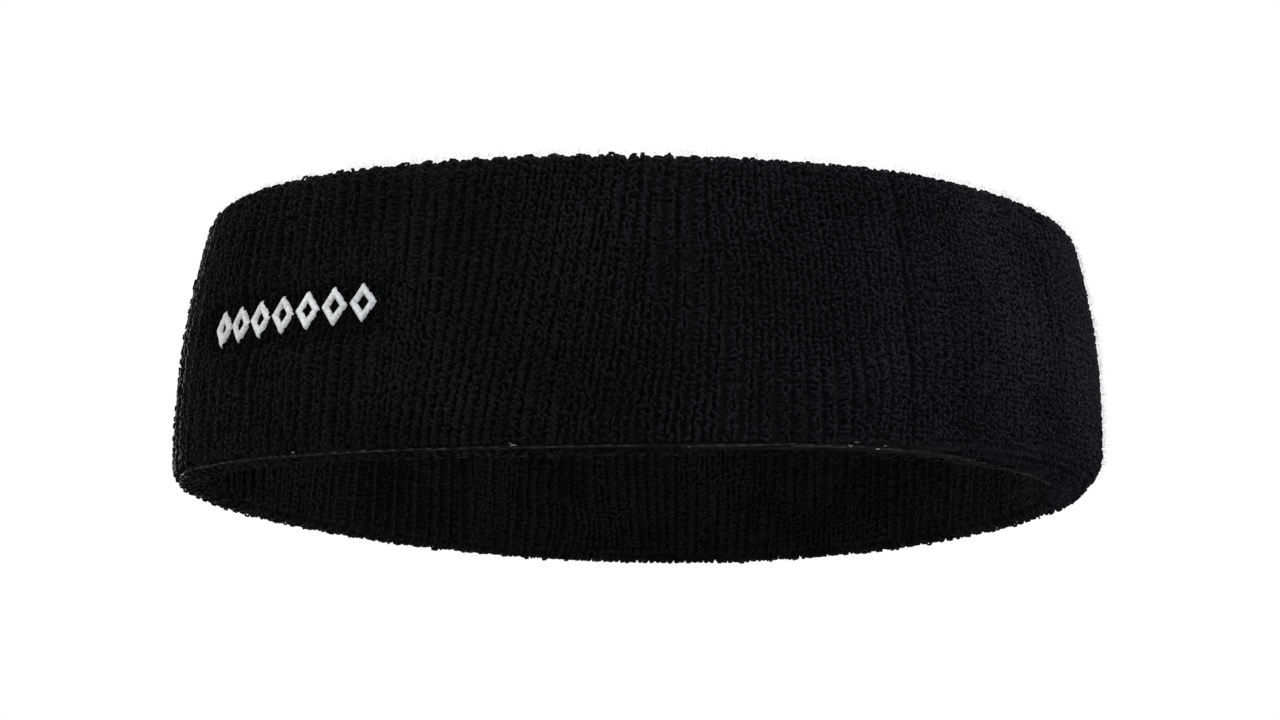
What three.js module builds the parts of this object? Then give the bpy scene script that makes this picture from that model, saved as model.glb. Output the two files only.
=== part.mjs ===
// A terry sports headband, standing on its lower rim in the round shape that it has on a head.
// Millimetres, +Z up. The front, with the embroidery, faces -Y, and +X is the wearer's left.
//
// The band is one seamless knitted tube, folded inside itself so that its wall has two layers. The
// fold is the upper edge, and the two open ends of the tube meet in a linking seam in the lower rim.
// Elastic yarn runs round between the layers, and a backing patch lies behind the embroidery.
//
// Every ring is first turned about +Z as a circle, and is then moved out to the plan of a head.

import * as THREE from "three";

// The band's outer face, in plan, at its lower rim and at its upper edge.
const LOWER_HALF_LENGTH = 100;
const LOWER_HALF_WIDTH = 84.5;
const UPPER_HALF_LENGTH = 96.5;
const UPPER_HALF_WIDTH = 77.5;
const BAND_HEIGHT = 52.5;
const BACKWARD_LEAN = 4; // the upper edge sits this much further back than the lower rim
const BELLY = 2; // how far the wall swells out at mid height

// The folded wall.
const WALL = 7.5;
const LAYER = 2.6; // one layer of terry, its pile included
const RIM_RADIUS = 2.0;
const SEAM_SLOT = 1.4; // the gap that the linking seam closes
const TURNED_IN_END = 3.6; // how far the outer layer turns in under the wall

// Threads between and below the layers.
const ELASTIC_DIAMETER = 0.6;
const SEAM_DIAMETER = 0.8;
const ELASTIC_HEIGHTS = [8, 16, 24, 32, 40, 46];
const CLEARANCE = 0.3; // the air kept between pieces that touch on the real band

// The embroidery: a row of open lozenges, and the patch behind them.
const LOZENGE_COUNT = 7;
const LOZENGE_WIDTH = 5.4;
const LOZENGE_HEIGHT = 7.0;
const LOZENGE_PITCH = 6.2;
const LOZENGE_STROKE = 1.2; // width of the satin stitch along each side
const THREAD_THICKNESS = 0.5;
const EMBROIDERY_HEIGHT = 25.5;
const BACKING_MARGIN = 2.5;
const BACKING_THICKNESS = 0.4;

// Fineness of the solids.
const TUBE_STEPS = 80;
const RING_STEPS = 64;
const THREAD_SIDES = 5;
const ROUND_STEPS = 4;

const HALF_TURN = Math.PI;
const FRONT = -HALF_TURN / 2; // the direction of -Y, as an angle from +X
const TURNING_RADIUS = 90; // radius of the outer face while the rings are still circles

const terry = new THREE.MeshStandardMaterial({ color: 0x0f0f11, roughness: 1, metalness: 0 });
const elastic = new THREE.MeshStandardMaterial({ color: 0x2a2a2c, roughness: 0.7, metalness: 0 });
const seamThread = new THREE.MeshStandardMaterial({ color: 0x3a3a3d, roughness: 0.6, metalness: 0 });
const satinThread = new THREE.MeshStandardMaterial({ color: 0xf1f1ef, roughness: 0.4, metalness: 0 });
const backing = new THREE.MeshStandardMaterial({ color: 0xd8d8d4, roughness: 0.9, metalness: 0 });

// The outer face in plan at a height: its half length, half width and shift towards the back.
function planAt(height) {
  const rise = height / BAND_HEIGHT;
  const swell = BELLY * (1 - (2 * rise - 1) ** 2);
  return {
    halfLength: THREE.MathUtils.lerp(LOWER_HALF_LENGTH, UPPER_HALF_LENGTH, rise) + swell,
    halfWidth: THREE.MathUtils.lerp(LOWER_HALF_WIDTH, UPPER_HALF_WIDTH, rise) + swell,
    shift: BACKWARD_LEAN * rise,
  };
}

// The point at an angle round the head, at a depth inside the outer face, at a height.
function pointOnHead(angle, depth, height) {
  const { halfLength, halfWidth, shift } = planAt(height);
  const onFace = new THREE.Vector2(halfWidth * Math.cos(angle), halfLength * Math.sin(angle));
  const outward = new THREE.Vector2(
    Math.cos(angle) / halfWidth,
    Math.sin(angle) / halfLength,
  ).normalize();
  onFace.addScaledVector(outward, -depth);
  return new THREE.Vector3(onFace.x, onFace.y + shift, height);
}

// Turns a closed profile of (depth, height) points about +Z and moves the ring out to the head's plan.
function ringOnHead(profile, steps) {
  const points = profile.map(([depth, height]) => new THREE.Vector2(TURNING_RADIUS - depth, height));
  points.push(points[0].clone());
  const geometry = new THREE.LatheGeometry(points, steps);
  geometry.rotateX(HALF_TURN / 2);
  const position = geometry.getAttribute("position");
  for (let i = 0; i < position.count; i += 1) {
    const x = position.getX(i);
    const y = position.getY(i);
    const moved = pointOnHead(Math.atan2(y, x), TURNING_RADIUS - Math.hypot(x, y), position.getZ(i));
    position.setXYZ(i, moved.x, moved.y, moved.z);
  }
  geometry.computeVertexNormals();
  return geometry;
}

// Points of an arc in the profile, from one angle to another, both ends included.
function arc(centreDepth, centreHeight, depthRadius, heightRadius, from, to) {
  const points = [];
  for (let i = 0; i <= ROUND_STEPS; i += 1) {
    const angle = THREE.MathUtils.lerp(from, to, i / ROUND_STEPS);
    const depth = centreDepth - depthRadius * Math.cos(angle);
    points.push([depth, centreHeight + heightRadius * Math.sin(angle)]);
  }
  return points;
}

// Points straight up or down one face, without its ends.
function face(depth, from, to, pieces) {
  const points = [];
  for (let i = 1; i < pieces; i += 1) points.push([depth, THREE.MathUtils.lerp(from, to, i / pieces)]);
  return points;
}

// The folded tube: out along the rim, up the outer layer, over the fold, down the inner layer, up
// through the seam's slot and round the hollow between the layers.
function tubeProfile() {
  const quarter = HALF_TURN / 2;
  const foldRadius = WALL / 2;
  const foldHeight = BAND_HEIGHT - foldRadius;
  const hollowHalf = foldRadius - LAYER;
  const innerLip = TURNED_IN_END + SEAM_SLOT;
  return [
    [TURNED_IN_END, 0],
    ...arc(RIM_RADIUS, RIM_RADIUS, RIM_RADIUS, RIM_RADIUS, -quarter, 0),
    ...face(0, RIM_RADIUS, foldHeight, 5),
    ...arc(foldRadius, foldHeight, foldRadius, foldRadius, 0, quarter),
    ...arc(foldRadius, foldHeight, foldRadius, foldRadius, quarter, 2 * quarter).slice(1),
    ...face(WALL, foldHeight, RIM_RADIUS, 5),
    ...arc(WALL - RIM_RADIUS, RIM_RADIUS, RIM_RADIUS, RIM_RADIUS, 2 * quarter, 3 * quarter),
    [innerLip, 0],
    [innerLip, LAYER],
    [WALL - LAYER, LAYER + CLEARANCE],
    ...face(WALL - LAYER, LAYER, foldHeight, 4),
    [WALL - LAYER, foldHeight],
    [foldRadius, foldHeight + hollowHalf],
    [LAYER, foldHeight],
    ...face(LAYER, foldHeight, LAYER, 4),
    [LAYER, LAYER],
    [TURNED_IN_END, LAYER],
  ];
}

// A round of yarn: a small many-sided section at a depth and a height.
function yarnProfile(depth, height, diameter) {
  const points = [];
  for (let i = 0; i < THREAD_SIDES; i += 1) {
    const angle = (2 * HALF_TURN * i) / THREAD_SIDES;
    points.push([depth - (diameter / 2) * Math.cos(angle), height + (diameter / 2) * Math.sin(angle)]);
  }
  return points;
}

// The angle round the head at a distance along the outer face from the front's middle.
function angleFromFront(distance, height) {
  return FRONT + distance / planAt(height).halfWidth;
}

// Draws a lozenge whose sides lie inside the full outline by an inset.
function drawLozenge(path, inset) {
  const halfWidth = LOZENGE_WIDTH / 2;
  const halfHeight = LOZENGE_HEIGHT / 2;
  const middleToSide = (halfWidth * halfHeight) / Math.hypot(halfWidth, halfHeight);
  const share = 1 - inset / middleToSide;
  path.moveTo(0, halfHeight * share);
  path.lineTo(-halfWidth * share, 0);
  path.lineTo(0, -halfHeight * share);
  path.lineTo(halfWidth * share, 0);
  path.closePath();
  return path;
}

// An open lozenge of satin stitch: a low frame of thread, rounded off at its edges.
function lozengeGeometry() {
  const bevel = THREAD_THICKNESS / 2;
  const outline = drawLozenge(new THREE.Shape(), bevel);
  outline.holes.push(drawLozenge(new THREE.Path(), LOZENGE_STROKE - bevel));
  const geometry = new THREE.ExtrudeGeometry(outline, {
    depth: THREAD_THICKNESS / 2,
    bevelEnabled: true,
    bevelThickness: THREAD_THICKNESS / 4,
    bevelSize: bevel,
    bevelSegments: 2,
  });
  geometry.translate(0, 0, THREAD_THICKNESS / 4);
  return geometry;
}

// A flat patch, bent to the back of the outer layer.
function backingGeometry() {
  const length = (LOZENGE_COUNT - 1) * LOZENGE_PITCH + LOZENGE_WIDTH + 2 * BACKING_MARGIN;
  const height = LOZENGE_HEIGHT + 2 * BACKING_MARGIN;
  const geometry = new THREE.BoxGeometry(length, BACKING_THICKNESS, height, 20, 1, 2);
  const middleDepth = LAYER + CLEARANCE + BACKING_THICKNESS / 2;
  const position = geometry.getAttribute("position");
  for (let i = 0; i < position.count; i += 1) {
    const z = EMBROIDERY_HEIGHT + position.getZ(i);
    const angle = angleFromFront(position.getX(i), z);
    const moved = pointOnHead(angle, middleDepth + position.getY(i), z);
    position.setXYZ(i, moved.x, moved.y, moved.z);
  }
  geometry.computeVertexNormals();
  return geometry;
}

// Puts a lozenge on the outer face, looking straight out from it.
function placeLozenge(mesh, distance) {
  const angle = angleFromFront(distance, EMBROIDERY_HEIGHT);
  const foot = pointOnHead(angle, -CLEARANCE, EMBROIDERY_HEIGHT);
  const along = pointOnHead(angle + 0.01, -CLEARANCE, EMBROIDERY_HEIGHT).sub(foot).normalize();
  const up = pointOnHead(angle, -CLEARANCE, EMBROIDERY_HEIGHT + 1).sub(foot).normalize();
  const out = along.clone().cross(up).normalize();
  up.copy(out).cross(along);
  mesh.quaternion.setFromRotationMatrix(new THREE.Matrix4().makeBasis(along, up, out));
  mesh.position.copy(foot);
}

const headband = new THREE.Group();

function addPiece(name, geometry, material) {
  const mesh = new THREE.Mesh(geometry, material);
  mesh.name = name;
  headband.add(mesh);
  return mesh;
}

addPiece("folded_terry_tube", ringOnHead(tubeProfile(), TUBE_STEPS), terry);

// The linking seam lies in the slot of the lower rim, just above the ground.
const seamDepth = TURNED_IN_END + SEAM_SLOT / 2;
const seamHeight = SEAM_DIAMETER / 2 + 0.2;
addPiece("linking_seam", ringOnHead(yarnProfile(seamDepth, seamHeight, SEAM_DIAMETER), TUBE_STEPS), seamThread);

// The rounds of elastic lie in the hollow, clear of the backing patch.
const elasticDepth = WALL - LAYER - CLEARANCE - ELASTIC_DIAMETER / 2;
ELASTIC_HEIGHTS.forEach((height, i) => {
  const round = ringOnHead(yarnProfile(elasticDepth, height, ELASTIC_DIAMETER), RING_STEPS);
  addPiece(`elastic_round_${i + 1}`, round, elastic);
});

addPiece("embroidery_backing", backingGeometry(), backing);

for (let i = 0; i < LOZENGE_COUNT; i += 1) {
  const mesh = addPiece(`satin_lozenge_${i + 1}`, lozengeGeometry(), satinThread);
  placeLozenge(mesh, (i - (LOZENGE_COUNT - 1) / 2) * LOZENGE_PITCH);
}

// The origin is under the middle of the band's bounding box, on the surface that the band stands on.
const extent = new THREE.Box3().setFromObject(headband);
const middle = extent.getCenter(new THREE.Vector3());
headband.position.set(-middle.x, -middle.y, -extent.min.z);

export default headband;
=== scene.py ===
"""A black terry sports headband, in the round shape that it has on a head.

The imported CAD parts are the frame. Here the folded terry tube gets its real build: a ground knit with
thousands of separate yarn loops on both faces, a linking seam of chain stitches in the lower rim, rounds
of elastic yarn between the layers, a row of satin-stitched lozenges with a fleece behind it, and loose
fibres.
"""

import math

import bpy
import numpy as np
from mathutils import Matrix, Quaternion, Vector


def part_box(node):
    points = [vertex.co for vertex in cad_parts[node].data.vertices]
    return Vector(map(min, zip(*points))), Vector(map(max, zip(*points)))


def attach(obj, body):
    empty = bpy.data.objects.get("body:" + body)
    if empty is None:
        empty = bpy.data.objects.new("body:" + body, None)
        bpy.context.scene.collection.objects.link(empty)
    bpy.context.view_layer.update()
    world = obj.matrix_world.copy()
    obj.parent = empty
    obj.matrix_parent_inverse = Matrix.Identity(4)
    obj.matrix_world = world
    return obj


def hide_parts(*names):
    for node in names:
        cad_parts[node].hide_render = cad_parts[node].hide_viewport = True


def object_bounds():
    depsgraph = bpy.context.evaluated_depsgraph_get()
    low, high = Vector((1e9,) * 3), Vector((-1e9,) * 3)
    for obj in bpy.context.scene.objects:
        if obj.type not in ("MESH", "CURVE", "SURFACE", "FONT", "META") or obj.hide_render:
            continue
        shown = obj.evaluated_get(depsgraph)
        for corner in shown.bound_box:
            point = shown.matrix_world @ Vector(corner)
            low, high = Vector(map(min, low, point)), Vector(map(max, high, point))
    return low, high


MM = 0.001
TURN = 2 * math.pi

# The outer face in plan, as in the CAD model.
LOWER_HALF_LENGTH = 100.0
LOWER_HALF_WIDTH = 84.5
UPPER_HALF_LENGTH = 96.5
UPPER_HALF_WIDTH = 77.5
BACKWARD_LEAN = 4.0
BELLY = 2.0
WALL = 7.5
RIM_RADIUS = 2.0
FRONT = -math.pi / 2
ROUND_RADIUS = 90  # turns a short length along the band into an angle, nearly enough

# How the band departs from the plain ring. Its edges and wall were fitted to its outline from one side.
MEAN_WALL = 7.7
WALL_GROWS_BACK = 0.7
WALL_GROWS_LEFT = 2.1
LUMP_HEIGHT = 0.25
LOWER_EDGE_WAVE = (-0.44, -2.08)  # parts that go as the cosine and sine of twice the angle from the front
UPPER_EDGE_WAVE = (-0.86, -1.30)
LOWER_EDGE_SPREAD = 0.48
CREASE_ANGLE = math.radians(-13)  # where the band was folded flat in its pack
CREASE_DEPTH = 0.9
CREASE_WIDTH = 1.3

# Stretches of the band, in degrees round from the front: where each starts, is full, fades and ends.
ROLL_SPAN = (74, 116, 134, 162)
SEAM_LOWERED_SPAN = (70, 92, 118, 130)
SEAM_RAISED_SPAN = (122, 138, 190, 215)
BARE_SPAN = (25, 55, 72, 95)

# The knit: wales run up the wall, courses run round it.
WALES = 430
COURSE_PITCH = 1.0
PILE = 1.6  # from the ground knit to the tips of the loops
STANDS_PROUD = 0.5  # how far the tips stand outside the CAD solid
UNDERSIDE = 0.55  # height of the ground knit under the rim
SEAM_DEPTH = 0.85
SEAM_HEIGHT = 0.2
SEAM_STITCHES = 178
SEAM_STITCH_REACH = 2.1  # half the length of a chain loop, so that each overlaps the next
SEAM_LOWERED = 0.75
SEAM_RAISED = 1.6
BARE_WIDTH = 0.5
BARE_WIDENS = 3.6
ROLL_RADIUS = 5.5
FOLD_RISE = 0.6  # the pile is shorter by this much over the upper fold, where the knit is stretched
KNIT_THICKNESS = 0.8
YARN_RADIUS = 0.31
ELASTIC_RADIUS = 0.3
ELASTIC_ROUNDS = 6
RIM_STRANDS = 10
RIM_STRAND_RADIUS = 0.26
MEANDER = 3.0  # how far the ribs wander sideways
SECTORS = 12
FIBRES = 45000
FUZZ_SECTORS = 5

# The embroidery.
LOZENGES = 7
LOZENGE_PITCH = 6.2
LOZENGE_WIDTH = 5.4
LOZENGE_HEIGHT = 7.0
LOZENGE_STROKE = 1.05
SATIN_PITCH = 0.26
SATIN_THREAD_RADIUS = 0.16
MOTIF_HEIGHT = 25.5
PULLED_IN = 0.9
MOTIF_TILT = 0.036

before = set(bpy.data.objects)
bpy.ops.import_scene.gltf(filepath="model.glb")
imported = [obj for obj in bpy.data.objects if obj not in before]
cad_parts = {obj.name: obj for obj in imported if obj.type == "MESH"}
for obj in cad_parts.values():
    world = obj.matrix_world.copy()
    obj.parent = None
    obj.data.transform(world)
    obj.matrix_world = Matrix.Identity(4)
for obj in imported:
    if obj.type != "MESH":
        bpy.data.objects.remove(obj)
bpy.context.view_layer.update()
tube_low, tube_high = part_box("folded_terry_tube")
BAND_HEIGHT = tube_high.z / MM


# ---------------------------------------------------------------- the shape of the band


def plan_at(height):
    """Half length, half width and backward shift of the outer face at a height."""
    rise = height / BAND_HEIGHT
    swell = BELLY * (1 - (2 * rise - 1) ** 2)
    half_length = LOWER_HALF_LENGTH + (UPPER_HALF_LENGTH - LOWER_HALF_LENGTH) * rise + swell
    half_width = LOWER_HALF_WIDTH + (UPPER_HALF_WIDTH - LOWER_HALF_WIDTH) * rise + swell
    return half_length, half_width, BACKWARD_LEAN * rise


def centring_shift():
    """How far the CAD model was moved along Y, so that its box is centred on the origin."""
    half_length, _, shift = plan_at(np.linspace(0, BAND_HEIGHT, 200))
    return tube_low.y / MM - float((shift - half_length).min())


CENTRING = centring_shift()


class Waves:
    """Smooth seeded noise over the cloth, which joins up round the band."""

    def __init__(self, seed, size_round, size_up, count=28):
        rng = np.random.default_rng(seed)
        girth = TURN * (LOWER_HALF_LENGTH + LOWER_HALF_WIDTH) / 2
        self.turns = np.rint(rng.normal(0, girth / size_round / 4, count))
        self.up = rng.normal(0, 1 / size_up / 4, count) * TURN
        self.phase = rng.uniform(0, TURN, count)
        self.scale = math.sqrt(2 / count)

    def __call__(self, angle, along):
        total = np.zeros(np.broadcast(angle, along).shape)
        for turns, up, phase in zip(self.turns, self.up, self.phase):
            total += np.sin(turns * angle + up * along + phase)
        return total * self.scale


lumps = Waves(11, 34, 30)
rib_drift = Waves(12, 22, 34)
rib_drift_wide = Waves(13, 40, 60)
rib_strength = Waves(14, 30, 24)
nap_patches = Waves(15, 16, 12)
meander = Waves(16, 42, 38)


def from_front(angle):
    """The signed angle from the front's middle."""
    return (angle - FRONT + math.pi) % TURN - math.pi


def smooth_step(value, low, high):
    share = np.clip((value - low) / (high - low), 0, 1)
    return share * share * (3 - 2 * share)


def over_span(degrees, span):
    """0 outside a stretch of the band, rising smoothly to 1 within it."""
    return smooth_step(degrees, span[0], span[1]) * (1 - smooth_step(degrees, span[2], span[3]))


def rolled(angle):
    """1 behind the wearer's left ear, where the lower edge is rolled inward, and 0 elsewhere."""
    return over_span(np.degrees(from_front(angle)), ROLL_SPAN)


def seam_depth(angle):
    """Where the seam lies under the rim. Where the edge is rolled inward, the outer pile reaches right
    across the rim."""
    return SEAM_DEPTH + (WALL - SEAM_DEPTH - 0.9) * rolled(angle)


def seam_height(angle):
    """The seam comes down along the rolled edge, and is drawn up between the loops behind it."""
    facing = np.degrees(from_front(angle)) % 360
    lowered = SEAM_LOWERED * over_span(facing, SEAM_LOWERED_SPAN)
    return SEAM_HEIGHT - lowered + SEAM_RAISED * over_span(facing, SEAM_RAISED_SPAN)


def bare_width(angle):
    """The width of the strip of bare ground knit beside the seam."""
    return BARE_WIDTH + BARE_WIDENS * over_span(np.degrees(from_front(angle)), BARE_SPAN)


def motif_pull(angle, height):
    """1 where the embroidery draws the cloth in, falling to 0 round about."""
    _, half_width, _ = plan_at(height)
    aside = np.abs(from_front(angle)) * half_width
    half_length = LOZENGES * LOZENGE_PITCH / 2
    over = np.clip((aside - half_length + 1) / 5, 0, 2)
    above = (height - MOTIF_HEIGHT) / (LOZENGE_HEIGHT / 2 + 2.5)
    return np.exp(-(over**2) * 2 - above**4)


def wall_at(angle):
    """The wall's thickness, which isn't the same all round."""
    facing = from_front(angle)
    return MEAN_WALL - WALL_GROWS_BACK * np.cos(facing) + WALL_GROWS_LEFT * np.sin(facing)


def twice_round(wave, facing):
    return wave[0] * np.cos(2 * facing) + wave[1] * np.sin(2 * facing)


def on_head(angle, depth, height):
    """The point at an angle round the head, a depth inside the outer face, and a height, with the
    outward direction there."""
    facing = from_front(angle)
    roll = ROLL_RADIUS * rolled(angle) + 1e-6
    below = np.clip((roll - height) / roll, 0, 1)
    tucked = roll * (1 - np.sqrt(1 - below**2))
    depth = tucked + depth * (1 - tucked / (WALL + 1))
    depth = depth * wall_at(angle) / WALL
    depth = depth + LUMP_HEIGHT * lumps(angle, height)
    depth = depth + PULLED_IN * motif_pull(angle, height)
    for crease in (CREASE_ANGLE, CREASE_ANGLE + math.pi):
        away = (angle - crease + math.pi) % TURN - math.pi
        depth = depth + CREASE_DEPTH * np.exp(-((away * LOWER_HALF_WIDTH / CREASE_WIDTH) ** 2))
    half_length, half_width, shift = plan_at(height)
    outward = np.stack([np.cos(angle) / half_width, np.sin(angle) / half_length], -1)
    outward = outward / np.linalg.norm(outward, axis=-1, keepdims=True)
    rise = height / BAND_HEIGHT
    depth = depth - LOWER_EDGE_SPREAD * (np.sin(2 * facing) + np.cos(3 * facing)) * (1 - rise)
    lower = twice_round(LOWER_EDGE_WAVE, facing)
    lift = lower + (twice_round(UPPER_EDGE_WAVE, facing) - lower) * rise
    x = half_width * np.cos(angle) - depth * outward[..., 0]
    y = half_length * np.sin(angle) + shift + CENTRING - depth * outward[..., 1]
    point = np.stack([x, y, height + lift], -1)
    return point, np.concatenate([outward, np.zeros(outward.shape[:-1] + (1,))], -1)


def section_path(under_tips, bottom=None):
    """The wall's outline in (depth, height), a distance under the tips of the pile. It starts at the
    seam in the lower rim, goes up the outer face, over the fold and down the inner face."""
    inset = under_tips - STANDS_PROUD
    middle = WALL / 2
    fold = middle - inset
    fold_height = BAND_HEIGHT - middle
    corner = max(RIM_RADIUS - inset, 0.3)
    near = inset + corner
    points = [(middle, inset)]
    for step in range(13):
        turn = math.pi / 2 * step / 12
        points.append((near - corner * math.sin(turn), near - corner * math.cos(turn)))
    for step in range(25):
        turn = math.pi * step / 24
        points.append((middle - fold * math.cos(turn), fold_height + fold * math.sin(turn)))
    for step in range(13):
        turn = math.pi / 2 * step / 12
        points.append((WALL - near + corner * math.cos(turn), near - corner * math.sin(turn)))
    points.append((middle, inset))
    points = np.array(points)
    points[:, 1] += FOLD_RISE * smooth_step(points[:, 1], BAND_HEIGHT - 7, BAND_HEIGHT - 3)
    if bottom is not None:
        share = np.clip(1 - (points[:, 1] - inset) / 6, 0, 1)
        points[:, 1] += (bottom - inset) * share
    return points


def spaced(points, count, closed=True):
    """Points evenly spaced along a path, with the path's own normal, which points out of the wall."""
    step = np.linalg.norm(np.diff(points, axis=0), axis=1)
    keep = np.concatenate([[True], step > 1e-9])
    points = points[keep]
    along = np.concatenate([[0], np.cumsum(np.linalg.norm(np.diff(points, axis=0), axis=1))])
    at = np.linspace(0, along[-1], count, endpoint=not closed)
    place = np.stack([np.interp(at, along, points[:, k]) for k in range(2)], -1)
    ahead = np.stack([np.interp(at + 0.2, along, points[:, k]) for k in range(2)], -1)
    behind = np.stack([np.interp(at - 0.2, along, points[:, k]) for k in range(2)], -1)
    tangent = ahead - behind
    tangent /= np.linalg.norm(tangent, axis=1, keepdims=True)
    return place, np.stack([-tangent[:, 1], tangent[:, 0]], -1), along[-1]


# ---------------------------------------------------------------- meshes


def mesh_object(name, points, faces, material):
    """A smooth mesh from points in millimetres and faces of four corners."""
    mesh = bpy.data.meshes.new(name)
    mesh.vertices.add(len(points))
    mesh.vertices.foreach_set("co", (points * MM).astype(np.float32).ravel())
    mesh.loops.add(faces.size)
    mesh.loops.foreach_set("vertex_index", faces.astype(np.int32).ravel())
    mesh.polygons.add(len(faces))
    mesh.polygons.foreach_set("loop_start", np.arange(0, faces.size, 4, dtype=np.int32))
    mesh.polygons.foreach_set("loop_total", np.full(len(faces), 4, dtype=np.int32))
    mesh.update(calc_edges=True)
    mesh.polygons.foreach_set("use_smooth", np.ones(len(faces), dtype=bool))
    mesh.materials.append(material)
    piece = bpy.data.objects.new(name, mesh)
    bpy.context.scene.collection.objects.link(piece)
    return piece


UP = np.array([0, 0, 1.0])


def unit(vectors):
    return vectors / np.maximum(np.linalg.norm(vectors, axis=-1, keepdims=True), 1e-9)


def tubes(paths, side, radius, sides, closed=False):
    """Points and faces of many round threads at once. paths is (threads, points, 3), side is a
    direction across each thread, and radius is one number or one for each point of each thread."""
    threads, count, _ = paths.shape
    if closed:
        tangent = np.roll(paths, -1, 1) - np.roll(paths, 1, 1)
    else:
        tangent = np.gradient(paths, axis=1)
    tangent = unit(tangent)
    side = unit(side - tangent * (side * tangent).sum(-1, keepdims=True))
    other = np.cross(tangent, side)
    turn = (np.arange(sides) + 0.5) * TURN / sides
    ring = side[:, :, None, :] * np.cos(turn)[:, None] + other[:, :, None, :] * np.sin(turn)[:, None]
    radius = np.broadcast_to(radius, (threads, count))[:, :, None, None]
    points = paths[:, :, None, :] + ring * radius
    index = np.arange(threads * count * sides).reshape(threads, count, sides)
    ahead = np.roll(index, -1, 1) if closed else index[:, 1:]
    here = index if closed else index[:, :-1]
    faces = np.stack([here, np.roll(here, -1, 2), np.roll(ahead, -1, 2), ahead], -1)
    return points.reshape(-1, 3), faces.reshape(-1, 4)


# ---------------------------------------------------------------- materials


def node(tree, kind, **values):
    made = tree.nodes.new("ShaderNode" + kind)
    for name, value in values.items():
        if name in made.inputs:
            made.inputs[name].default_value = value
        else:
            setattr(made, name, value)
    return made


def cloth_material(
    name, dark, light, roughness, sheen, grain, patch, bump_depth, bump_scale, gloss=0.1, painted_side_light=0.0
):
    """Cloth whose colour wanders between two near tones, in small grains and in large patches, with a
    fibrous bump."""
    material = bpy.data.materials.new(name)
    material.use_nodes = True
    tree = material.node_tree
    shader = tree.nodes["Principled BSDF"]
    place = node(tree, "TexCoord").outputs["Object"]
    fine = node(tree, "TexNoise", Scale=grain, Detail=2.0)
    broad = node(tree, "TexNoise", Scale=patch, Detail=3.0)
    tree.links.new(place, fine.inputs["Vector"])
    tree.links.new(place, broad.inputs["Vector"])
    both = node(tree, "Math", operation="MULTIPLY_ADD")
    both.inputs[1].default_value = 0.6
    tree.links.new(fine.outputs["Fac"], both.inputs[0])
    part = node(tree, "Math", operation="MULTIPLY")
    part.inputs[1].default_value = 0.4
    tree.links.new(broad.outputs["Fac"], part.inputs[0])
    tree.links.new(part.outputs[0], both.inputs[2])
    ramp = node(tree, "ValToRGB")
    ramp.color_ramp.elements[0].position = 0.36
    ramp.color_ramp.elements[0].color = (*dark, 1)
    ramp.color_ramp.elements[1].position = 0.66
    ramp.color_ramp.elements[1].color = (*light, 1)
    tree.links.new(both.outputs[0], ramp.inputs[0])
    colour = ramp.outputs[0]
    if painted_side_light:
        # Painted light: the cloth's colour is made paler and bluer towards the back of the wearer's left
        # side, for the paler, bluer light that side catches.
        axis = node(tree, "VectorMath", operation="DOT_PRODUCT")
        axis.inputs[1].default_value = (6.0, 3.2, 0)
        tree.links.new(place, axis.inputs[0])
        share = node(tree, "MapRange")
        share.inputs["From Min"].default_value = -0.05
        share.inputs["From Max"].default_value = 0.58
        tree.links.new(axis.outputs["Value"], share.inputs["Value"])
        tint = node(tree, "Mix", data_type="RGBA")
        tint.inputs["A"].default_value = (0.68, 0.68, 0.68, 1)
        tint.inputs["B"].default_value = (1 + painted_side_light, 1 + 0.8 * painted_side_light, 1 + 2.2 * painted_side_light, 1)
        tree.links.new(share.outputs[0], tint.inputs["Factor"])
        both = node(tree, "Mix", data_type="RGBA", blend_type="MULTIPLY")
        both.inputs["Factor"].default_value = 1.0
        tree.links.new(colour, both.inputs["A"])
        tree.links.new(tint.outputs["Result"], both.inputs["B"])
        colour = both.outputs["Result"]
    tree.links.new(colour, shader.inputs["Base Color"])
    shader.inputs["Roughness"].default_value = roughness
    shader.inputs["Specular IOR Level"].default_value = gloss
    shader.inputs["Sheen Weight"].default_value = sheen
    shader.inputs["Sheen Roughness"].default_value = 0.45
    shader.inputs["Sheen Tint"].default_value = (1, 1, 1, 1)
    fibres = node(tree, "TexNoise", Scale=bump_scale, Detail=3.0, Roughness=0.65)
    tree.links.new(place, fibres.inputs["Vector"])
    bump = node(tree, "Bump", Strength=0.7, Distance=bump_depth)
    tree.links.new(fibres.outputs["Fac"], bump.inputs["Height"])
    tree.links.new(bump.outputs[0], shader.inputs["Normal"])
    return material


# The outer pile's colour carries painted light: paler and bluer towards the back of the wearer's left side.
pile_cloth = cloth_material(
    "terry_pile", (0.0005, 0.0005, 0.0005), (0.0100, 0.0100, 0.0101), 0.95, 0.03, 1900, 60, 0.00014, 3500,
    gloss=0.06, painted_side_light=0.36,
)
inside_cloth = cloth_material(
    "terry_inside", (0.0004, 0.0004, 0.0004), (0.0090, 0.0090, 0.0090), 0.95, 0.03, 1900, 60, 0.00014, 3500,
    gloss=0.06,
)
# Painted shade: a darker copy of the pile for the loops in the pulled-in cloth round the embroidery, for the
# shade in that hollow.
pull_shade_cloth = cloth_material(
    "terry_pull_shade", (0.0003, 0.0003, 0.0003), (0.0032, 0.0032, 0.0032), 0.95, 0.01, 1900, 60, 0.00014, 3500,
    gloss=0.05,
)
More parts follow.
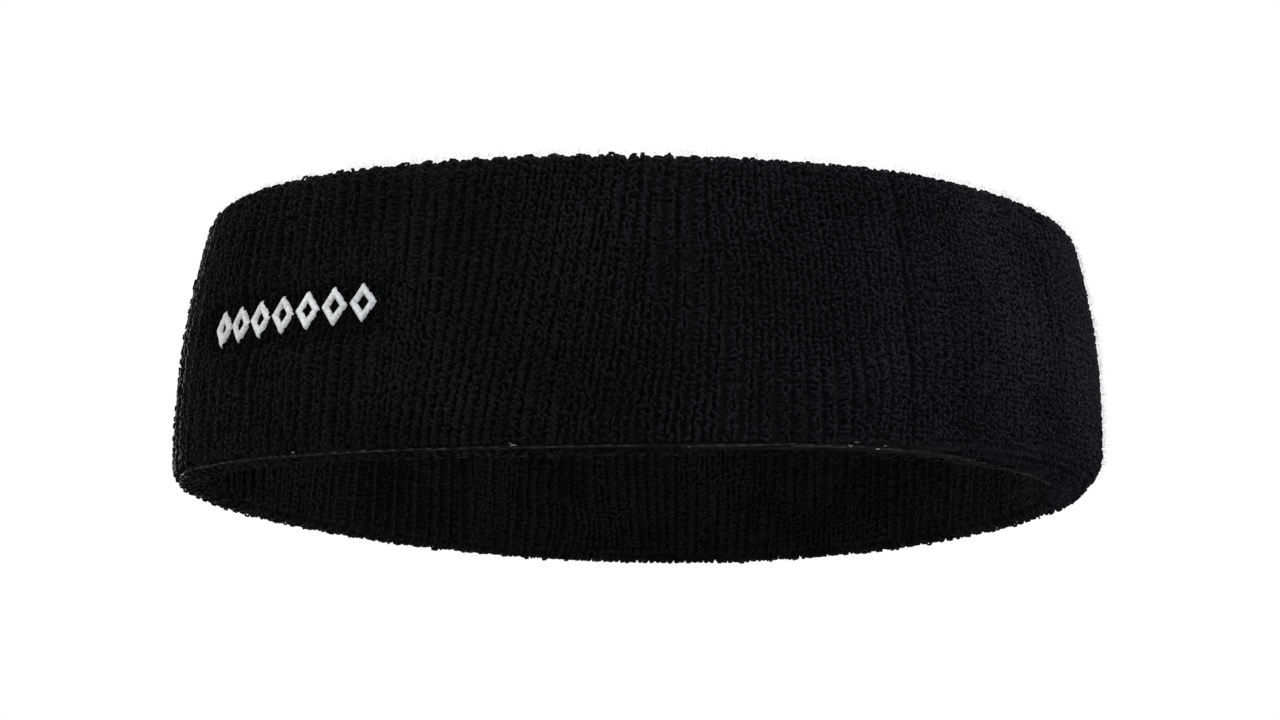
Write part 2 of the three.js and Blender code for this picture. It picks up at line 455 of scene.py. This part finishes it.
# Painted shade: the ground knit is coloured darker than the loops, for the shade deep between them.
ground_shade_cloth = cloth_material(
    "terry_ground", (0.001, 0.001, 0.001), (0.003, 0.003, 0.003), 0.95, 0.03, 2200, 80, 0.00015, 4000
)
seam_cloth = cloth_material(
    "seam_thread", (0.003, 0.003, 0.0031), (0.045, 0.045, 0.046), 0.7, 0.1, 190, 90, 0.00004, 9000
)
fleck_cloth = cloth_material(
    "elastic_cover", (0.05, 0.05, 0.05), (0.30, 0.30, 0.295), 0.55, 0.1, 700, 90, 0.00003, 9000
)
satin_cloth = cloth_material(
    "satin_thread", (0.52, 0.52, 0.515), (0.82, 0.82, 0.815), 0.38, 0.1, 1600, 120, 0.00003, 12000, 0.5
)
strand_cloth = cloth_material(
    "knit_strands", (0.001, 0.001, 0.001), (0.006, 0.006, 0.0063), 0.95, 0.03, 1500, 80, 0.00008, 5000
)
# Painted sheen: the stray fibres are coloured much paler than the pile, for the light that fine fibres catch
# at the edges.
fuzz_sheen_cloth = cloth_material(
    "cotton_fuzz", (0.02, 0.02, 0.02), (0.075, 0.075, 0.076), 0.95, 0.1, 900, 60, 0.00002, 9000
)
backing_cloth = cloth_material(
    "backing_fleece", (0.55, 0.55, 0.53), (0.75, 0.75, 0.72), 0.9, 0.1, 1200, 90, 0.00006, 5000
)


# ---------------------------------------------------------------- the ground knit


def ground_knit():
    """The knitted sheet itself, a closed shell with a gap for the seam in the lower rim."""
    around, along = 360, 120
    outer, _, _ = spaced(section_path(PILE, UNDERSIDE), along, closed=False)
    inner, _, _ = spaced(section_path(PILE + KNIT_THICKNESS, UNDERSIDE + KNIT_THICKNESS), along, closed=False)
    lip = 0.4
    outer[0, 0] -= lip
    outer[-1, 0] += lip
    inner[0, 0] -= lip
    inner[-1, 0] += lip
    loop = np.concatenate([outer, inner[::-1]])
    angle = np.arange(around)[:, None] * TURN / around
    points, _ = on_head(angle, loop[None, :, 0], loop[None, :, 1])
    index = np.arange(around * len(loop)).reshape(around, len(loop))
    beside = np.roll(index, -1, 0)
    faces = np.stack([index, beside, np.roll(beside, -1, 1), np.roll(index, -1, 1)], -1)
    return mesh_object("ground_knit", points.reshape(-1, 3), faces.reshape(-1, 4), ground_shade_cloth)


# ---------------------------------------------------------------- the pile

# One loop of pile in its own plane: across the loop, and out from the ground as a share of the pile.
LOOP_SHAPE = np.array([(-0.30, 0.05), (-0.50, 0.62), (-0.27, 0.95), (0.27, 0.95), (0.50, 0.62), (0.30, 0.05)])


def even_angles(count):
    """Angles that space the wales evenly round the wall at mid height."""
    fine = np.linspace(0, TURN, 4000)
    point, _ = on_head(fine, 0.0 * fine, 0.0 * fine + BAND_HEIGHT / 2)
    along = np.concatenate([[0], np.cumsum(np.linalg.norm(np.diff(point, axis=0), axis=1))])
    return np.interp(np.arange(count) * along[-1] / count, along, fine), along[-1] / count


def napped(angle, along):
    """Near 1 where the loops are short and brushed together, from a little before the side crease
    backwards, and 0 where they stand in ribs."""
    behind = (angle - CREASE_ANGLE + math.pi) % TURN - math.pi
    reach = np.clip((behind * LOWER_HALF_WIDTH + 52) / 30, 0, 1)
    return reach * np.clip(0.8 + 0.25 * nap_patches(angle, along), 0, 1)


def terry_pile():
    """Every loop of the pile, on both faces and over both edges, as one piece for each sector."""
    rng = np.random.default_rng(21)
    path = section_path(PILE, UNDERSIDE + 0.3)
    length = np.linalg.norm(np.diff(path, axis=0), axis=1).sum()
    courses = int(round(length / COURSE_PITCH))
    spots, normals, length = spaced(path, courses)
    angles, wale_pitch = even_angles(WALES)
    course_at = np.arange(courses) * COURSE_PITCH

    wale = np.repeat(np.arange(WALES), courses)
    course = np.tile(np.arange(courses), WALES)
    along = course_at[course] + rng.normal(0, 0.16, wale.size)
    angle = angles[wale] + rng.normal(0, 0.1, wale.size) / ROUND_RADIUS
    angle = angle + MEANDER * (1 - 0.8 * napped(angle, along)) * meander(angle, along) / ROUND_RADIUS
    depth, height = spots[course].T
    out_depth, out_height = normals[course].T
    inside = depth > WALL / 2

    nap = napped(angle, along) * ~inside
    point, outward = on_head(angle, depth, height)
    round_way = unit(on_head(angle + 0.01, depth, height)[0] - point)
    ahead, _ = on_head(angle, depth - out_height * 0.3, height + out_depth * 0.3)
    behind, _ = on_head(angle, depth + out_height * 0.3, height - out_depth * 0.3)
    out = unit(np.cross(round_way, ahead - behind))
    out *= np.sign((out * (-out_depth[:, None] * outward + out_height[:, None] * UP)).sum(-1, keepdims=True))
    up_way = np.cross(out, round_way)
    over_fold = smooth_step(out_height, 0.2, 0.8)

    # Ribs: the tips of neighbouring wales lean together, in pairs and in fours.
    place = angle * ROUND_RADIUS
    drift = rib_drift(angle, along)
    pair = wale / 2 + 0.25 + 0.2 * drift
    four = place / (4 * wale_pitch) + 0.5 * rib_drift_wide(angle, along)
    strength = np.clip(1.0 + 0.35 * rib_strength(angle, along), 0.2, 1.7)
    pull = motif_pull(angle, height) * ~inside
    strength = strength * np.where(inside, 1.5, 1.15) * (1 - 0.92 * nap) * (1 - 0.6 * pull)
    gather = -0.55 * np.sin(TURN * pair) - 0.25 * np.sin(TURN * four)
    crest = 0.16 * np.cos(TURN * four)

    tall = (PILE - YARN_RADIUS) * (1.0 + strength * crest + rng.normal(0, 0.1, wale.size))
    tall = tall * (1 - 0.5 * pull) * (1 - 0.12 * nap) - FOLD_RISE * over_fold
    lean = round_way * (strength * gather + rng.normal(0, 0.13, wale.size))[:, None]
    lean = lean + up_way * rng.normal(0, 0.25, wale.size)[:, None]
    spin = rng.normal(np.where(inside, 1.2, math.pi / 2), 0.6 + 0.6 * nap + 0.6 * over_fold)
    across = round_way * np.cos(spin)[:, None] + up_way * np.sin(spin)[:, None]
    width = np.where(inside, 0.8, 0.95) + rng.normal(0, 0.12, wale.size) - 0.15 * nap
    thick = YARN_RADIUS * (1 + rng.normal(0, 0.08, wale.size)) * (1 - 0.15 * nap) * (1 + 0.25 * inside)

    kept = ~((pull > 0.5) & under_stitches(angle, height) & ~inside)
    beyond_seam = depth - seam_depth(angle)
    kept &= (out_height > -0.8) | (beyond_seam < -0.2) | (beyond_seam > bare_width(angle))
    inner_face = inside & (beyond_seam > 0)
    # Loops round the embroidery get the darker copy of the pile: painted shade of the hollow there.
    pull_shaded = pull + rng.normal(0, 0.15, wale.size) > 0.45
    sector = wale * SECTORS // WALES
    pieces = []
    for number in range(SECTORS):
        pick = kept & (sector == number)
        paths = (
            point[pick, None, :]
            + across[pick, None, :] * LOOP_SHAPE[:, 0][:, None] * width[pick, None, None]
            + out[pick, None, :] * LOOP_SHAPE[:, 1][:, None] * tall[pick, None, None]
            + lean[pick, None, :] * (LOOP_SHAPE[:, 1] ** 1.5)[:, None]
        )
        side = np.cross(across, out)[pick, None, :] * np.ones((1, len(LOOP_SHAPE), 1))
        points, faces = tubes(paths, side, thick[pick, None], 4)
        piece = mesh_object(f"terry_pile_{number + 1:02d}", points, faces, pile_cloth)
        piece.data.materials.append(inside_cloth)
        piece.data.materials.append(pull_shade_cloth)
        choice = np.repeat(inner_face[pick] + 2 * pull_shaded[pick], len(faces) // pick.sum())
        piece.data.polygons.foreach_set("material_index", choice.astype(np.int32))
        pieces.append(piece)
    return pieces


# ---------------------------------------------------------------- the embroidery


def motif_places():
    """The angle of each lozenge's middle."""
    _, half_width, _ = plan_at(MOTIF_HEIGHT)
    steps = np.arange(LOZENGES) - (LOZENGES - 1) / 2
    return FRONT + steps * LOZENGE_PITCH / half_width


def motif_line(angle):
    """The height of the row of lozenges, which rises towards the wearer's left."""
    _, half_width, _ = plan_at(MOTIF_HEIGHT)
    return MOTIF_HEIGHT + 0.7 + MOTIF_TILT * from_front(angle) * half_width


def under_stitches(angle, height):
    """True where a loop's foot lies under the satin stitch."""
    _, half_width, _ = plan_at(MOTIF_HEIGHT)
    slope = math.hypot(LOZENGE_WIDTH, LOZENGE_HEIGHT)
    to_side = LOZENGE_WIDTH * LOZENGE_HEIGHT / 2 / slope
    covered = np.zeros(angle.shape, bool)
    for middle in motif_places():
        aside = np.abs(angle - middle) * half_width
        share = aside / (LOZENGE_WIDTH / 2) + np.abs(height - motif_line(middle)) / (LOZENGE_HEIGHT / 2)
        inset = (1 - share) * to_side
        covered |= (inset > -0.3) & (inset < LOZENGE_STROKE + 0.2)
    return covered


def satin_lozenge(number, middle):
    """Threads laid close together across each of the four sides of an open lozenge."""
    rng = np.random.default_rng(300 + number)
    _, half_width, _ = plan_at(MOTIF_HEIGHT)
    corners = [
        (0, LOZENGE_HEIGHT / 2),
        (-LOZENGE_WIDTH / 2, 0),
        (0, -LOZENGE_HEIGHT / 2),
        (LOZENGE_WIDTH / 2, 0),
    ]
    to_side = LOZENGE_WIDTH * LOZENGE_HEIGHT / 2 / math.hypot(LOZENGE_WIDTH, LOZENGE_HEIGHT)
    inner = 1 - LOZENGE_STROKE / to_side
    threads = []
    for k in range(4):
        start = np.array(corners[k])
        end = np.array(corners[(k + 1) % 4])
        count = int(np.linalg.norm(end - start) / SATIN_PITCH)
        for step in range(count):
            share = (step + 0.5) / count
            outside = start + (end - start) * share
            inside = (start + (end - start) * share) * inner
            wobble = rng.normal(0, 0.05, 2)
            threads.append((outside * (1 + wobble[0] * 0.2), inside * (1 + wobble[1] * 0.5)))
    threads = np.array(threads)
    lay = np.linspace(0, 1, 8)
    flat = threads[:, None, 0] + (threads[:, None, 1] - threads[:, None, 0]) * lay[:, None]
    rise = np.sin(np.pi * lay) ** 0.6
    angle = middle + flat[..., 0] / half_width
    height = motif_line(middle) + flat[..., 1]
    lift = 0.7 * rise[None, :] + rng.normal(0, 0.03, (len(threads), 1)) - 0.1
    point, outward = on_head(angle, 0.0 * angle + 0.35, height)
    point = point + outward * lift[..., None]
    along = unit(threads[:, 1] - threads[:, 0])
    round_way = np.cross(UP, outward)
    side = round_way * -along[:, None, 1:2] + UP * along[:, None, 0:1]
    points, faces = tubes(point, side, SATIN_THREAD_RADIUS, 6)
    return mesh_object(f"satin_threads_{number + 1}", points, faces, satin_cloth)


def backing_patch():
    """The fleece behind the stitches, inside the tube, which follows the pulled-in cloth."""
    across, up = 60, 20
    half_length = LOZENGES * LOZENGE_PITCH / 2 + 2
    half_height = LOZENGE_HEIGHT / 2 + 2.5
    _, half_width, _ = plan_at(MOTIF_HEIGHT)
    turn = np.linspace(-1, 1, across)[:, None] * half_length / half_width
    height = MOTIF_HEIGHT + np.linspace(-1, 1, up)[None, :] * half_height
    rng = np.random.default_rng(33)
    rough = rng.normal(0, 0.03, (2, across, up))
    front, _ = on_head(FRONT + turn + 0 * height, PILE + KNIT_THICKNESS + 0.25 + rough[0], height + 0 * turn)
    back, _ = on_head(FRONT + turn + 0 * height, PILE + KNIT_THICKNESS + 0.65 + rough[1], height + 0 * turn)
    points = np.concatenate([front.reshape(-1, 3), back.reshape(-1, 3)])
    index = np.arange(across * up).reshape(across, up)
    cells = np.stack([index[:-1, :-1], index[1:, :-1], index[1:, 1:], index[:-1, 1:]], -1).reshape(-1, 4)
    rim = np.concatenate([index[:, 0], index[-1, 1:], index[-2::-1, -1], index[0, -2:0:-1]])
    beyond = np.roll(rim, -1)
    layer = across * up
    walls = np.stack([beyond, rim, rim + layer, beyond + layer], -1)
    faces = np.concatenate([cells, cells[:, ::-1] + layer, walls])
    return mesh_object("backing_patch", points, faces, backing_cloth)


# ---------------------------------------------------------------- the lower rim


def chain_seam():
    """The linking seam: a chain of long loops, each caught in the next, at the rim's outer corner."""
    rng = np.random.default_rng(41)
    count = SEAM_STITCHES
    turn = np.linspace(0, TURN, 22, endpoint=False)
    middle = np.arange(count) * TURN / count
    length = SEAM_STITCH_REACH * (1 + rng.normal(0, 0.08, count))
    along = np.cos(turn)[None, :] * length[:, None]
    over = np.sin(turn)[None, :] * 0.2 * (1 + 0.45 * np.cos(turn)[None, :])
    angle = middle[:, None] + along / ROUND_RADIUS
    drift = rng.normal(0, 0.2, (count, 1))
    wander = Waves(44, 8, 20)
    depth = seam_depth(angle) - 0.1 + over * 0.6 + drift + 0.15 * wander(angle, 0.0 * angle)
    height = seam_height(angle) - 0.1 - over * 0.3 + drift * 0.5 + 0.15 * np.cos(turn)[None, :]
    point, outward = on_head(angle, depth, height)
    side = np.cross(np.gradient(point, axis=1), outward + np.array([0, 0, -1.0]))
    head = np.clip(np.cos(turn) - 0.2, 0, 1)[None, :] * rng.uniform(0.4, 1.3, (count, 1))
    points, faces = tubes(point, side, 0.025 + 0.09 * head, 5, closed=True)
    return mesh_object("linking_seam_chain", points, faces, seam_cloth)


def rim_strands():
    """Ground yarns that run along the underside of the rim, where the two ends of the tube meet."""
    rng = np.random.default_rng(42)
    steps = 1500
    angle = np.arange(steps) * TURN / steps
    paths = []
    rows = RIM_STRANDS
    for row in range(rows):
        wander = Waves(60 + row, 9, 20)
        depth = seam_depth(angle) + 0.4 + row * 0.42 + 0.14 * wander(angle, 0.0 * angle)
        depth = np.minimum(depth, WALL - 0.6)
        height = UNDERSIDE - 0.1 + 0.12 * wander(angle, 0.0 * angle + 33) + seam_height(angle) - SEAM_HEIGHT
        point, _ = on_head(angle, depth, height)
        paths.append(point)
    paths = np.array(paths)
    side = np.zeros_like(paths)
    side[..., 2] = 1.0
    radius = RIM_STRAND_RADIUS * (1 + 0.12 * rng.normal(0, 1, (rows, steps)))
    points, faces = tubes(paths, side, np.clip(radius, 0.16, 0.36), 6, closed=True)
    return mesh_object("rim_strands", points, faces, strand_cloth)


def elastic_round(number):
    """One round of the covered elastic yarn, which lies loosely between the two layers of terry."""
    rng = np.random.default_rng(200 + number)
    low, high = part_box(f"elastic_round_{number}")
    steps = 900
    angle = np.arange(steps) * TURN / steps
    sway = Waves(210 + number, 14, 20)
    height = (low.z + high.z) / 2 / MM + 0.35 * sway(angle, 0.0 * angle)
    point, outward = on_head(angle, 0.0 * angle + WALL / 2, height)
    radius = ELASTIC_RADIUS * (1 + 0.1 * rng.normal(0, 1, (1, steps)))
    points, faces = tubes(point[None], outward[None], np.clip(radius, 0.2, 0.4), 6, closed=True)
    return mesh_object(f"elastic_yarn_{number}", points, faces, fleck_cloth)


def flecks():
    """Short bits of the elastic's pale cover yarn that show between the loops along both edges."""
    rng = np.random.default_rng(43)
    low, high = 34, 18
    count = low + high
    angle = rng.uniform(0, TURN, count)
    length = rng.uniform(0.4, 1.2, count)
    steps = np.linspace(-0.5, 0.5, 5)
    upper = np.arange(count) >= low
    depth = np.where(upper, rng.uniform(0.9, 2.4, count), seam_depth(angle) + rng.normal(-0.2, 0.3, count))
    height = np.where(upper, BAND_HEIGHT - 0.5 + 0.2 * depth, rng.normal(0.4, 0.3, count))
    bend = rng.normal(0, 0.16, count)
    angles = angle[:, None] + steps * length[:, None] / ROUND_RADIUS
    heights = height[:, None] + bend[:, None] * (1 - 4 * steps**2) + 0.2 * steps * bend[:, None]
    point, outward = on_head(angles, np.repeat(depth[:, None], 5, 1), heights)
    point = point + outward * 0.3
    radius = 0.1 * (1 - 3 * steps**2)[None, :] * rng.uniform(0.6, 1.3, count)[:, None] + 0.02
    points, faces = tubes(point, outward, radius, 5)
    return mesh_object("elastic_flecks", points, faces, fleck_cloth)


def stray_fibres(number):
    """Fine curled cotton fibres that stand out of the pile, over one share of the band."""
    rng = np.random.default_rng(500 + number)
    count = FIBRES // FUZZ_SECTORS
    spots, normals, _ = spaced(section_path(0.35, UNDERSIDE), 400)
    pick = rng.integers(0, 400, count)
    angle = (number + rng.uniform(0, 1, count)) * TURN / FUZZ_SECTORS
    point, outward = on_head(angle, spots[pick, 0], spots[pick, 1])
    out = unit(-normals[pick, :1] * outward + normals[pick, 1:] * UP)
    drift = unit(rng.normal(0, 1, (count, 3)))
    curl = unit(np.cross(drift, out))
    length = rng.uniform(0.3, 1.3, count)
    steps = np.linspace(0, 1, 4)
    paths = (
        point[:, None]
        + out[:, None] * (np.sin(steps * 2.2) * 0.5)[:, None] * length[:, None, None]
        + drift[:, None] * (steps * 0.65)[:, None] * length[:, None, None]
        + curl[:, None] * (np.sin(steps * 3.6) * 0.22)[:, None] * length[:, None, None]
    )
    side = np.repeat(curl[:, None], 4, 1)
    points, faces = tubes(paths, side, 0.014 * (1 - 0.5 * steps)[None, :], 3)
    return mesh_object(f"cotton_fuzz_{number + 1}", points, faces, fuzz_sheen_cloth)


# ---------------------------------------------------------------- the pieces and what they stand for

knit = ground_knit()
pile = terry_pile()
seam = chain_seam()
strands = rim_strands()
elastic_bits = flecks()
fuzz = [stray_fibres(number) for number in range(FUZZ_SECTORS)]
motif = [satin_lozenge(number, middle) for number, middle in enumerate(motif_places())]

for piece in [knit, *pile, strands, *fuzz]:
    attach(piece, "root")
    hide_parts("folded_terry_tube")

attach(seam, "root")
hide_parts("linking_seam")
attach(elastic_bits, "root")

for number, piece in enumerate(motif):
    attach(piece, "root")
    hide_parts(f"satin_lozenge_{number + 1}")

backing = backing_patch()
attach(backing, "root")
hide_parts("embroidery_backing")

for number in range(1, ELASTIC_ROUNDS + 1):
    elastic = elastic_round(number)
    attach(elastic, "root")
    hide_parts(f"elastic_round_{number}")


# ---------------------------------------------------------------- floor, light and camera


PRESSED = 0.9  # the tips of the lowest loops are pressed flat by the floor


def studio_floor():
    """A pale floor that is clear from below, because the camera looks up at the band."""
    mesh = bpy.data.meshes.new("floor")
    size = 3.0
    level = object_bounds()[0].z + PRESSED * MM
    corners = [(-size, -size, level), (size, -size, level), (size, size, level), (-size, size, level)]
    mesh.from_pydata(corners, [], [(0, 1, 2, 3)])
    floor = bpy.data.objects.new("floor", mesh)
    bpy.context.scene.collection.objects.link(floor)
    material = bpy.data.materials.new("floor")
    material.use_nodes = True
    tree = material.node_tree
    tree.nodes["Principled BSDF"].inputs["Base Color"].default_value = (0.86, 0.86, 0.86, 1)
    tree.nodes["Principled BSDF"].inputs["Roughness"].default_value = 0.9
    clear = tree.nodes.new("ShaderNodeBsdfTransparent")
    back = tree.nodes.new("ShaderNodeNewGeometry")
    mix = tree.nodes.new("ShaderNodeMixShader")
    tree.links.new(back.outputs["Backfacing"], mix.inputs[0])
    tree.links.new(tree.nodes["Principled BSDF"].outputs[0], mix.inputs[1])
    tree.links.new(clear.outputs[0], mix.inputs[2])
    tree.links.new(mix.outputs[0], tree.nodes["Material Output"].inputs["Surface"])
    mesh.materials.append(material)
    floor.visible_shadow = False
    floor.visible_diffuse = False


def soft_light(name, place, size, power, colour=(1, 1, 1), target=(0, 0, 0.026)):
    lamp = bpy.data.lights.new(name, "AREA")
    lamp.shape = "DISK"
    lamp.size = size
    lamp.energy = power
    lamp.color = colour
    thing = bpy.data.objects.new(name, lamp)
    thing.location = place
    thing.rotation_euler = (Vector(target) - Vector(place)).to_track_quat("-Z", "Y").to_euler()
    bpy.context.scene.collection.objects.link(thing)


def white_room():
    """Dim even light, and a white dome behind everything that gives no light itself."""
    world = bpy.data.worlds.new("room")
    world.use_nodes = True
    world.node_tree.nodes["Background"].inputs[0].default_value = (1, 1, 1, 1)
    world.node_tree.nodes["Background"].inputs[1].default_value = ROOM_LIGHT
    bpy.context.scene.world = world
    bpy.ops.mesh.primitive_uv_sphere_add(segments=48, ring_count=24, radius=5)
    dome = bpy.context.object
    dome.name = "backdrop"
    material = bpy.data.materials.new("backdrop")
    material.use_nodes = True
    tree = material.node_tree
    tree.nodes.remove(tree.nodes["Principled BSDF"])
    glow = tree.nodes.new("ShaderNodeEmission")
    tree.links.new(glow.outputs[0], tree.nodes["Material Output"].inputs["Surface"])
    dome.data.materials.append(material)
    dome.visible_diffuse = False
    dome.visible_glossy = False
    dome.visible_shadow = False


ROOM_LIGHT = 0.75
CAMERA_TURN = math.radians(41.92)
CAMERA_RISE = math.radians(-9.81)
CAMERA_ROLL = math.radians(-1.07)
CAMERA_DISTANCE = 0.5885
CAMERA_LENS = 81.9
CAMERA_SHIFT = (-0.0065, 0.0105)
AIM = Vector((0, CENTRING * MM, BAND_HEIGHT / 2 * MM))


def camera():
    lens = bpy.data.cameras.new("camera")
    lens.sensor_width = 36
    lens.lens = CAMERA_LENS
    lens.shift_x, lens.shift_y = CAMERA_SHIFT
    lens.clip_start = 0.05
    eye = bpy.data.objects.new("camera", lens)
    level = math.cos(CAMERA_RISE)
    away = Vector(
        (math.sin(CAMERA_TURN) * level, -math.cos(CAMERA_TURN) * level, math.sin(CAMERA_RISE))
    )
    eye.location = AIM + away * CAMERA_DISTANCE
    turned = (-away).to_track_quat("-Z", "Y")
    eye.rotation_mode = "QUATERNION"
    eye.rotation_quaternion = turned @ Quaternion(Vector((0, 0, 1)), CAMERA_ROLL)
    bpy.context.scene.collection.objects.link(eye)
    bpy.context.scene.camera = eye


studio_floor()
white_room()
soft_light("key", (0.3, -1.2, 0.9), 1.2, 6)
soft_light("edge", (-1.3, 0.6, 0.13), 0.14, 58)
soft_light("fill", (1.3, -0.2, 0.3), 1.0, 7, colour=(0.86, 0.9, 1.0))
soft_light("top", (0.2, 0.3, 1.4), 1.4, 8)
camera()
bpy.context.scene.view_settings.view_transform = "Standard"
